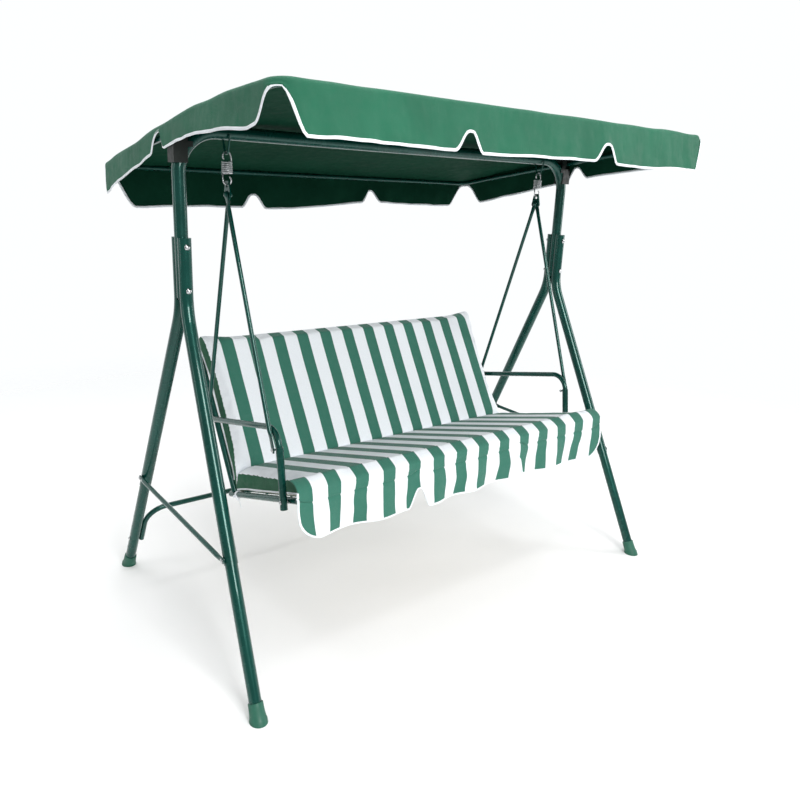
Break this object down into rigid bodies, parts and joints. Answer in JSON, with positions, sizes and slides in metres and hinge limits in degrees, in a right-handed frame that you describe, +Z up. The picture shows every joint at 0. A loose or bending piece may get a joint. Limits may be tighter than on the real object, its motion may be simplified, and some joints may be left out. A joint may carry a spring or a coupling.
{
  "type": "canopy swing bench",
  "caption": "Garden swing bench for several people, hung on springs from a tube frame with splayed legs, with striped cushions and a tilting fabric canopy with a scalloped edge.",
  "frame": {"origin": "on the ground, under the middle of the top beam", "axes": "+Z up, -Y the way the bench faces, +X to the right as seen from the front"},
  "size_m": [1.7006, 1.1688, 1.575],
  "materials": {
    "green_paint": "glossy dark green powder coat",
    "green_plastic": "moulded green plastic",
    "black_plastic": "moulded dark plastic",
    "zinc": "bright zinc plate",
    "canopy_fabric": "woven cloth with white binding",
    "striped_fabric": "woven cloth in green and white stripes"
  },
  "bodies": {
    "frame": {"upper_leg_front_left": "green_paint", "upper_leg_rear_left": "green_paint", "upper_leg_front_right": "green_paint", "upper_leg_rear_right": "green_paint", "lower_leg_front_left": "green_paint", "lower_leg_rear_left": "green_paint", "lower_leg_front_right": "green_paint", "lower_leg_rear_right": "green_paint", "foot_cap_front_left": "green_plastic", "foot_cap_rear_left": "green_plastic", "foot_cap_front_right": "green_plastic", "foot_cap_rear_right": "green_plastic", "leg_bolt_upper_left": "zinc", "leg_bolt_lower_left": "zinc", "leg_bolt_upper_right": "zinc", "leg_bolt_lower_right": "zinc", "side_brace_left": "green_paint", "side_brace_right": "green_paint", "rear_cross_bar": "green_paint", "top_beam": "green_paint", "spring_eye_left": "green_paint", "spring_eye_right": "green_paint", "canopy_bracket_left": "black_plastic", "canopy_bracket_right": "black_plastic"},
    "canopy": {"canopy_arm_left": "green_paint", "canopy_arm_right": "green_paint", "canopy_bar_front": "green_paint", "canopy_bar_rear": "green_paint", "canopy_cover": "canopy_fabric"},
    "springs": {"spring_left": "zinc", "spring_right": "zinc"},
    "links": {"hanger_link_left": "green_paint", "hanger_link_right": "green_paint"},
    "seat": {"hanger_front_left": "green_paint", "hanger_rear_left": "green_paint", "hanger_front_right": "green_paint", "hanger_rear_right": "green_paint", "arm_rest_left": "green_paint", "arm_rest_right": "green_paint", "arm_upright_left": "green_paint", "arm_upright_right": "green_paint", "seat_side_bar_left": "green_paint", "seat_side_bar_right": "green_paint", "back_post_left": "green_paint", "back_post_right": "green_paint", "seat_front_rail": "green_paint", "seat_rear_rail": "green_paint", "back_top_rail": "green_paint", "seat_wire_grid": "green_paint", "back_wire_grid": "green_paint", "seat_cushion": "striped_fabric", "back_cushion": "striped_fabric", "seat_flap": "striped_fabric", "hanger_bolt_front_left": "zinc", "hanger_bolt_rear_left": "zinc", "seat_bolt_left": "zinc", "hanger_bolt_front_right": "zinc", "hanger_bolt_rear_right": "zinc", "seat_bolt_right": "zinc"}
  },
  "joints": [
    {"name": "canopy_tilt", "type": "hinge", "parent": "frame", "child": "canopy", "pos_m": [0, 0, 1.478], "axis": [1, 0, 0], "range_deg": [-8, 20]},
    {"name": "swing", "type": "hinge", "parent": "frame", "child": "springs", "pos_m": [0, 0, 1.4343], "axis": [1, 0, 0], "range_deg": [-22, 22]},
    {"name": "spring_stretch", "type": "slide", "parent": "springs", "child": "links", "axis": [0, 0, -1], "range_m": [0, 0.03], "stiffness_N_per_m": 50000, "springref_m": -0.006, "deforming": ["spring_left", "spring_right"]},
    {"name": "hanger_pivot", "type": "hinge", "parent": "links", "child": "seat", "pos_m": [0, 0, 1.326], "axis": [1, 0, 0], "range_deg": [-6, 6]}
  ]
}
